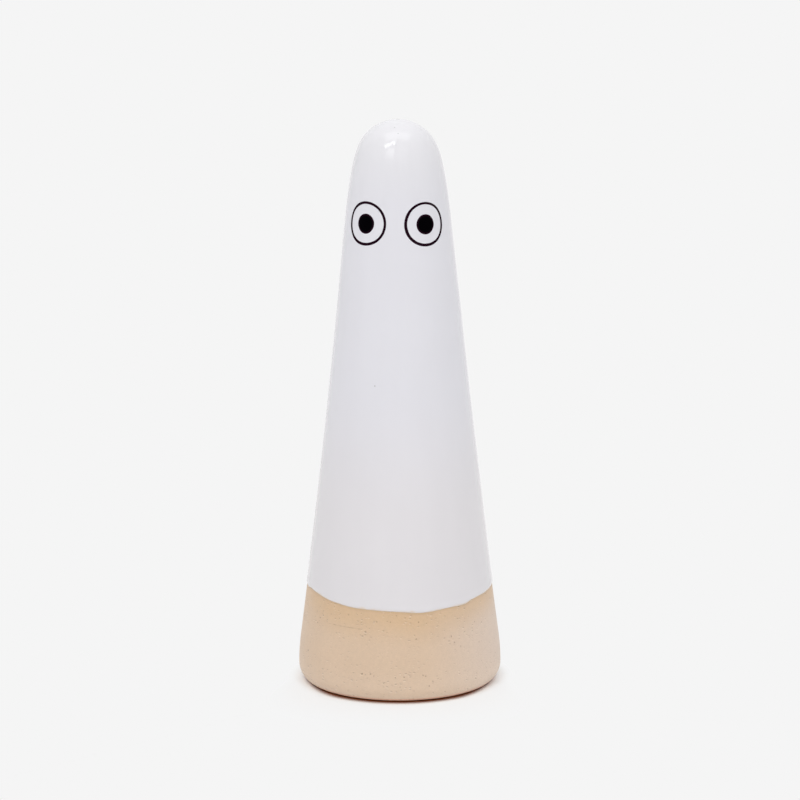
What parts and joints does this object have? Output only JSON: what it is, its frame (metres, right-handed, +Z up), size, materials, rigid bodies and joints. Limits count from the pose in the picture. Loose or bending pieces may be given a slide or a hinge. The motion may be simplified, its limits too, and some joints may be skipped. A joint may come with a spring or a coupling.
{
  "type": "ceramic ghost figure",
  "caption": "Free-standing hollow stoneware ghost: a tapering white-glazed body with a rounded crown, bare clay foot and painted ring eyes, for a seasonal shelf display.",
  "frame": {"origin": "centre of the foot, on the surface that the figure stands on", "axes": "+Z up along the figure's axis, -Y the way the face looks, +X to the right of someone facing it"},
  "size_m": [0.0608, 0.0608, 0.1691],
  "materials": {
    "bare_clay": "matte, fine sandy stoneware",
    "white_glaze": "glossy white glaze",
    "eye_paint": "black brushed line under a thin gloss"
  },
  "bodies": {
    "root": {"clay_body": "bare_clay", "white_glaze": "white_glaze", "left_eye_ring": "eye_paint", "left_pupil": "eye_paint", "right_eye_ring": "eye_paint", "right_pupil": "eye_paint"}
  },
  "joints": []
}
